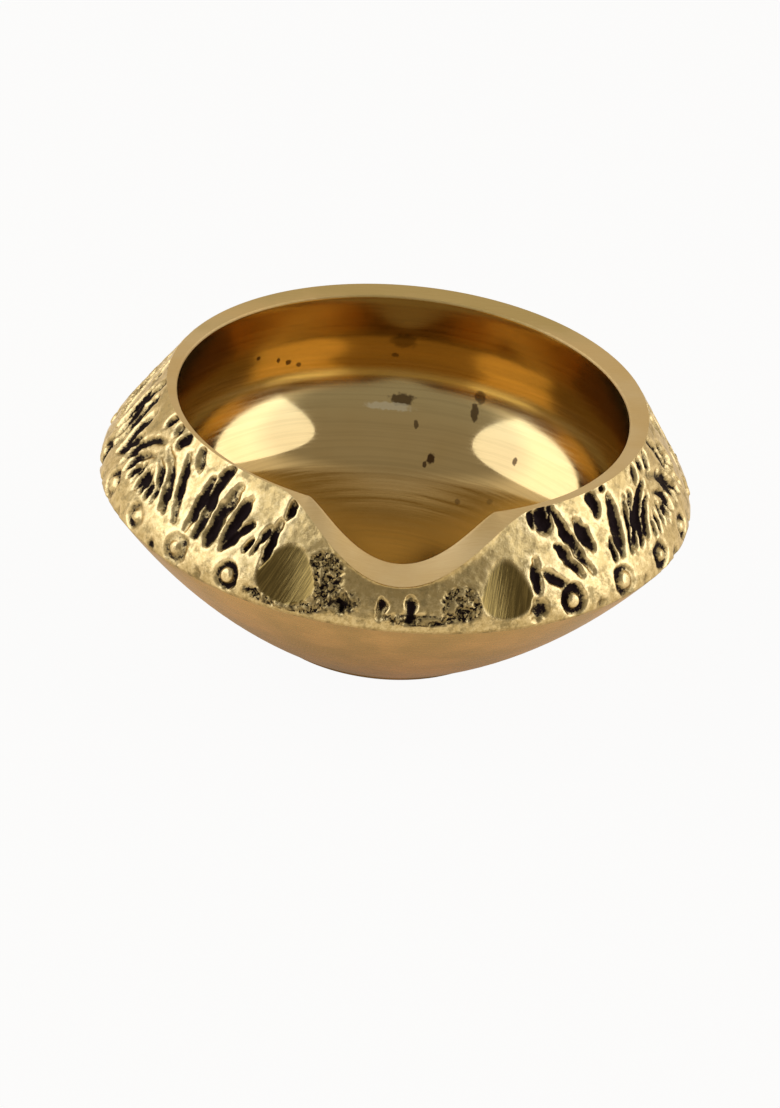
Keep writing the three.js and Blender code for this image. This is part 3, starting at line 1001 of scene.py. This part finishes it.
# Noise: the detail and roughness of strokes and rings, scale and detail of a ring's slow drift,
# the levels between which clouds and fine noise turn from one look to the other, and a spot's edge
STROKE_NOISE = (3.0, 0.7)
RING_NOISE = (4.0, 0.65)
DRIFT_NOISE = (0.05, 1.0)
CLOUD_LEVELS = (0.35, 0.7)
FINE_LEVELS = (0.3, 0.7)
SPOT_EDGE = (1.1, 0.7)

# Highlights drawn out across the turning lines, not along them
QUARTER_TURN = 0.25

# In all finishes rings have a pitch and a drift in millimetres, noise has a scale, detail and
# roughness, and a bump has a strength and a depth in millimetres. The lower bowl:
SPUN_RINGS = (0.35, 2.0)
SPUN_CLOUD = 0.12
SPUN_ROUGH = (0.22, 0.32)
SPUN_BUMP = (0.2, 0.02)

# The ground rim: its scratches are stretched noise, and painted shade darkens it towards the back
SCRATCH_SCALE = (0.35, 6.0, 0.35)
SCRATCH_NOISE = (1.0, 4.0, 0.7)
GROUND_CLOUD = 0.1
BACK_SHADE_DRIFT = 30.0
BACK_SHADE_PLACE = (30.0, 46.0)
GROUND_ROUGH = (0.6, 0.72)
GROUND_BUMP = (0.2, 0.015)

# The turned inside: fine and broad rings and dark lines, the heights at which the dish turns into
# the wall, which is painted paler as painted light, and how far back the painted shade on the front
# reaches
TURNED_FINE = (0.3, 1.0)
TURNED_BROAD = (1.6, 1.5)
TURNED_LINES = (0.5, 1.0)
LINE_LEVELS = (0.56, 0.38)
LINE_SHARE = 0.13
TURNED_CLOUD = 0.09
WALL_HEIGHTS = (12.0, 19.0)
FRONT_SHADE_DRIFT = 12.0
FRONT_SHADE_PLACE = (8.0, -2.0)
FRONT_SHADE_SHARE = 0.6
MARK_NOISE = (1.6, 3.0, 0.6)
MARK_RAGGED = 1.2
PAINTED_REFLECTION_SHARE = 0.7
TURNED_ROUGH = (0.04, 0.1)
WALL_ROUGH = 0.09
FINE_BUMP = (0.03, 0.02)
BROAD_BUMP = (0.03, 0.06)
TURNED_STRETCH = 0.6

# The cast skin: noise for its grain, grit, stains and specks, the shares of grain and grit in
# its unevenness, the levels of its black, shades, stains, wear and specks, what each adds to its
# roughness, and the bumps of the file's strokes, the grit and the grain
CAST_GRAIN = (1.8, 4.0, 0.65)
CAST_GRIT = (4.5, 3.0, 0.6)
CAST_STAIN = (0.55, 4.0, 0.7)
CAST_SPECK = (2.2, 2.0, 0.6)
GRAIN_SHARE = 0.9
GRIT_SHARE = 0.5
UNEVEN_MIDDLE = 0.7
BLACK_LEVELS = (0.4, 0.66)
SHADE_LEVELS = (0.05, 0.45)
SHADE_SHARE = 0.75
STAIN_LEVELS = (0.48, 0.68)
STAIN_SHARE = 0.8
PITTED_STAIN = 0.22
BORDER_EDGE = 0.6
BORDER_WORN = 0.45
CREST_WORN = 0.36
WORN_LEVELS = (0.66, 1.16)
SPECK_LEVELS = (0.48, 0.54)
PITTED_LEVELS = (0.1, 0.6)
FILE_STROKES = (0.3, 5.0, FILE_SLANT)
STREAK_LEVELS = (0.38, 0.7)
CAST_ROUGH = 0.28
FILED_ROUGH = -0.13
STAIN_ROUGH = 0.16
BLACK_ROUGH = 0.4
CAST_BUMPS = ((0.35, 0.05), (0.6, 0.04), (0.4, 0.07))


def under_finish():
    """The lower bowl: turned, with fine rings and a soft satin shine."""
    graph = new_graph("brass_spun")
    place = graph.place()
    rings = graph.turned(place, *SPUN_RINGS)
    cloud = graph.noise(place, SPUN_CLOUD)
    colour = graph.blend(graph.ramp(cloud, *CLOUD_LEVELS), BRASS_DEEP, BRASS_SATIN)
    rough = graph.ramp(rings, *FINE_LEVELS, *SPUN_ROUGH)
    return graph.brass(colour, rough, graph.bump(rings, *SPUN_BUMP))


def ground_finish():
    """The rim and the sill: ground flat on a stone, with fine straight scratches."""
    graph = new_graph("brass_ground")
    place = graph.place()
    scratch = graph.node("Mapping", {"Vector": place, "Scale": SCRATCH_SCALE})
    scratch = graph.noise(scratch.outputs[0], *SCRATCH_NOISE)
    cloud = graph.noise(place, GROUND_CLOUD)
    colour = graph.blend(graph.ramp(cloud, *CLOUD_LEVELS), BRASS, BRASS_PALE)
    # Painted shade: the rim is painted darker towards the back
    back = graph.math("MULTIPLY_ADD", cloud, BACK_SHADE_DRIFT, graph.split(place)[1])
    colour = graph.blend(graph.ramp(back, *BACK_SHADE_PLACE), colour, BRASS_BACK_PAINTED_SHADE)
    rough = graph.ramp(scratch, *FINE_LEVELS, *GROUND_ROUGH)
    return graph.brass(colour, rough, graph.bump(scratch, *GROUND_BUMP))


def turned_finish():
    """The inside: turned bright on a lathe, with rings that stretch the reflections, and painted
    shade, light and reflections in its colour.
    """
    graph = new_graph("brass_turned")
    place = graph.place()
    fine = graph.turned(place, *TURNED_FINE)
    broad = graph.turned(place, *TURNED_BROAD)
    cloud = graph.noise(place, TURNED_CLOUD)
    _, y, z = graph.split(place)
    wall = graph.ramp(z, *WALL_HEIGHTS)
    # Painted shade on the front of the inside
    front_shade = graph.ramp(graph.math("MULTIPLY_ADD", cloud, FRONT_SHADE_DRIFT, y), *FRONT_SHADE_PLACE)
    colour = graph.blend(graph.ramp(cloud, *CLOUD_LEVELS), BRASS, BRASS_DEEP)
    colour = graph.blend(graph.times(front_shade, FRONT_SHADE_SHARE), colour, BRASS_FRONT_PAINTED_SHADE)
    # Painted light: the wall is painted a paler brass
    colour = graph.blend(wall, colour, BRASS_WALL_PAINTED_LIGHT)
    lines = graph.ramp(graph.turned(place, *TURNED_LINES), *LINE_LEVELS)
    colour = graph.blend(graph.times(lines, LINE_SHARE), colour, TARNISH_AND_SHADE)
    ragged = graph.noise(place, *MARK_NOISE)
    ragged = graph.math("MULTIPLY_ADD", ragged, MARK_RAGGED, -MARK_RAGGED / 2)
    # Pits and painted reflections of dark things in front of the lamp
    for centre, half, strength in PITS_AND_PAINTED_REFLECTIONS:
        spot = graph.times(graph.spot(place, centre, half, ragged), strength)
        colour = graph.blend(spot, colour, PIT_AND_REFLECTION_DARK)
    # Painted reflection: a pale bar in the dish
    pale = graph.spot(place, *PALE_PAINTED_REFLECTION, ragged)
    colour = graph.blend(graph.times(pale, PAINTED_REFLECTION_SHARE), colour, BRASS_PAINTED_REFLECTION)
    soft = graph.times(wall, WALL_ROUGH)
    rough = graph.plus(graph.ramp(fine, *FINE_LEVELS, *TURNED_ROUGH), soft)
    normal = graph.bump(fine, *FINE_BUMP)
    normal = graph.bump(broad, *BROAD_BUMP, normal)
    return graph.brass(colour, rough, normal, TURNED_STRETCH)


def cast_finish():
    """Cast skin: black in the recesses, painted shade on their skirts, worn pale on the crests,
    brushed, with painted shade, on the filed facets.
    """
    graph = new_graph("brass_cast")
    place = graph.place()
    recess, crest, filed, pitted = (graph.value(name) for name in SKIN_VALUES)
    grain = graph.noise(place, *CAST_GRAIN)
    grit = graph.noise(place, *CAST_GRIT)
    cast = graph.math("SUBTRACT", 1.0, filed)
    uneven = graph.times(grit, GRIT_SHARE)
    uneven = graph.plus(graph.times(grain, GRAIN_SHARE), uneven)
    depth = graph.plus(recess, graph.math("SUBTRACT", uneven, UNEVEN_MIDDLE))
    dark = graph.ramp(depth, *BLACK_LEVELS)
    shade = graph.ramp(depth, *SHADE_LEVELS)
    stain = graph.noise(place, *CAST_STAIN)
    stain = graph.ramp(graph.math("MULTIPLY_ADD", pitted, PITTED_STAIN, stain), *STAIN_LEVELS)
    stain = graph.times(stain, cast)
    height = graph.split(place)[2]
    border = graph.ramp(height, SHOULDER_FOOT + BORDER_EDGE, SHOULDER_FOOT - BORDER_EDGE)
    rubbed = graph.most(crest, graph.times(border, BORDER_WORN))
    worn = graph.ramp(graph.math("MULTIPLY_ADD", rubbed, CREST_WORN, uneven), *WORN_LEVELS)
    colour = graph.blend(worn, BRASS_GROUND, BRASS_WORN)
    colour = graph.blend(graph.times(stain, STAIN_SHARE), colour, TARNISH_AND_SHADE)
    # Painted shade: the skirts of the grooves are darkened towards the recesses
    colour = graph.blend(graph.times(shade, SHADE_SHARE), colour, TARNISH_AND_SHADE)
    speck = graph.ramp(graph.noise(place, *CAST_SPECK), *SPECK_LEVELS)
    speck = graph.times(speck, graph.ramp(pitted, *PITTED_LEVELS))
    speck = graph.times(speck, graph.math("SUBTRACT", 1.0, crest))
    dark = graph.most(dark, speck)
    brushed = graph.strokes(place, *FILE_STROKES)
    # Painted shade on the filed facets: dark brass in brushed streaks, for the dim room they
    # reflect
    filed_painted_shade = graph.blend(graph.ramp(brushed, *STREAK_LEVELS), FILED_PAINTED_SHADE, FILED_STREAK_PAINTED_SHADE)
    colour = graph.blend(dark, colour, OXIDE)
    colour = graph.blend(filed, colour, filed_painted_shade)
    rough = graph.math("MULTIPLY_ADD", filed, FILED_ROUGH, CAST_ROUGH)
    rough = graph.math("MULTIPLY_ADD", stain, STAIN_ROUGH, rough)
    rough = graph.math("MULTIPLY_ADD", graph.times(dark, cast), BLACK_ROUGH, rough)
    normal = None
    for noise, where, bump in zip((brushed, grit, grain), (filed, cast, cast), CAST_BUMPS):
        strength, distance = bump
        normal = graph.bump(noise, graph.times(where, strength), distance, normal)
    return graph.brass(colour, rough, normal)


# The floor: half its side in metres, its colour, how white the camera sees it, and how white
# its reflection is from near the lamp to far from it, in millimetres
FLOOR_HALF = 1.5
FLOOR_COLOUR = tint(0.66, 0.48, 0.22)
FLOOR_CAMERA_SHARE = 0.95
FLOOR_FADE = (18.0, 75.0)
FLOOR_FADE_LEVELS = (0.2, 1.0)
WHITE = tint(1.0, 1.0, 1.0)

# The room that the metal reflects: how the ceiling's edge leans, where it lies and how bright
# the ceiling and the far wall are, and the light that the room gives
CEILING_TILT = 0.64
CEILING_EDGE = (0.61, 0.85)
CEILING_LEVEL = 0.38
BACKDROP_LEVEL = 0.75
WORLD_LIGHT = 0.35

# Oval softboxes: name, azimuth and elevation in degrees, distance and size in metres, and
# radiance, then their colour and how high the point lies that they aim at
SOFTBOXES = (
    ("softbox_right", 84.5, 28.0, 0.5, (0.54, 0.72), 2.05),
    ("softbox_left", -90.0, 34.0, 0.5, (0.62, 0.64), 2.05),
)
SOFTBOX_COLOUR = (0.62, 0.73, 1.0)
LIGHT_TARGET_HEIGHT = 0.02


def floor_finish():
    """White paper to the camera and in reflections, and a warm surface to all other light."""
    graph = new_graph("floor_paper")
    rays = graph.node("LightPath").outputs
    seen = graph.times(rays["Is Camera Ray"], FLOOR_CAMERA_SHARE)
    mirrored = graph.most(rays["Is Glossy Ray"], rays["Is Transmission Ray"])
    away = graph.vector("LENGTH", {0: graph.place()}, "Value")
    level = graph.ramp(away, *FLOOR_FADE, *FLOOR_FADE_LEVELS, kind="LINEAR")
    share = graph.most(seen, graph.times(mirrored, level))
    paper = graph.node("BsdfDiffuse", {"Color": FLOOR_COLOUR})
    white = graph.node("Emission", {"Color": WHITE, "Strength": 1.0})
    mix = graph.node("MixShader", {0: share, 1: paper.outputs[0], 2: white.outputs[0]})
    graph.output("OutputMaterial", mix)
    return graph.owner


def build_floor():
    mesh = bpy.data.meshes.new("floor")
    half = FLOOR_HALF
    corners = [(-half, -half, 0), (half, -half, 0), (half, half, 0), (-half, half, 0)]
    mesh.from_pydata(corners, [], [(0, 1, 2, 3)])
    mesh.materials.append(floor_finish())
    new_object("floor", mesh)


def build_world():
    """White paper low down, a little greyer behind, and a dim room above and in front."""
    world = bpy.data.worlds.new("tent")
    bpy.context.scene.world = world
    graph = Graph(world)
    _, y, z = graph.split(graph.node("TexCoord").outputs["Generated"])
    height = graph.math("MULTIPLY_ADD", y, -CEILING_TILT, z)
    level = graph.ramp(height, *CEILING_EDGE, 1.0, CEILING_LEVEL)
    level = graph.times(level, graph.ramp(y, 0.0, 1.0, 1.0, BACKDROP_LEVEL))
    rays = graph.node("LightPath").outputs
    seen = graph.most(rays["Is Camera Ray"], rays["Is Transmission Ray"])
    mirrored = graph.times(rays["Is Glossy Ray"], level)
    strength = graph.most(graph.most(seen, mirrored), WORLD_LIGHT)
    back = graph.node("Background", {"Color": WHITE, "Strength": strength})
    graph.output("OutputWorld", back)


def build_lights():
    target = Vector((0.0, 0.0, LIGHT_TARGET_HEIGHT))
    for name, azimuth, elevation, distance, size, radiance in SOFTBOXES:
        light = bpy.data.lights.new(name, "AREA")
        light.shape = "ELLIPSE"
        light.size, light.size_y = size
        light.energy = radiance * math.pi**2 / 4 * size[0] * size[1]
        light.color = SOFTBOX_COLOUR
        lamp = new_object(name, light)
        level = math.radians(elevation)
        aim = Vector(around(azimuth, math.cos(level), math.sin(level)))
        lamp.location = target + aim * distance
        lamp.rotation_mode = "QUATERNION"
        lamp.rotation_quaternion = aim.to_track_quat("Z", "Y")
        lamp.visible_camera = False


# Camera: elevation, azimuth and roll in degrees, distance in metres, where the middle of the
# mouth lies in the picture, in pixels, and the sensor's size in millimetres
CAMERA_ELEVATION = 28.6
CAMERA_AZIMUTH = -4.0
CAMERA_ROLL = 6.06
CAMERA_DISTANCE = 3.0
PICTURE_SIZE = (780, 1108)
MOUTH_PIXEL = (403.6, 403.8)
PIXELS_PER_MM = 7.815
SENSOR = 36.0
CAMERA_CLIP = (0.1, 20.0)


def build_camera():
    turn, rise, roll = map(math.radians, (CAMERA_AZIMUTH, CAMERA_ELEVATION, CAMERA_ROLL))
    level = Vector((math.cos(turn), math.sin(turn), 0.0))
    back = Vector(around(CAMERA_AZIMUTH, math.cos(rise), math.sin(rise)))
    upright = back.cross(level)
    right = math.cos(roll) * level + math.sin(roll) * upright
    up = -math.sin(roll) * level + math.cos(roll) * upright
    across = (MOUTH_PIXEL[0] - PICTURE_SIZE[0] / 2) / PIXELS_PER_MM * MM
    above = (PICTURE_SIZE[1] / 2 - MOUTH_PIXEL[1]) / PIXELS_PER_MM * MM
    middle = Vector((0.0, 0.0, RIM_HEIGHT * MM)) - across * right - above * up
    data = bpy.data.cameras.new("camera")
    data.sensor_width = SENSOR
    data.lens = PIXELS_PER_MM / MM * CAMERA_DISTANCE * SENSOR / PICTURE_SIZE[1]
    data.clip_start, data.clip_end = CAMERA_CLIP
    camera = new_object("camera", data)
    turned = Matrix((right, up, back)).transposed().to_4x4()
    camera.matrix_world = Matrix.Translation(middle + back * CAMERA_DISTANCE) @ turned
    bpy.context.scene.camera = camera


bpy.context.scene.view_settings.view_transform = "Standard"
build_camera()
build_world()
build_lights()
build_floor()
lamp = build_lamp()
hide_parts("lamp_body")
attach(lamp, "root")
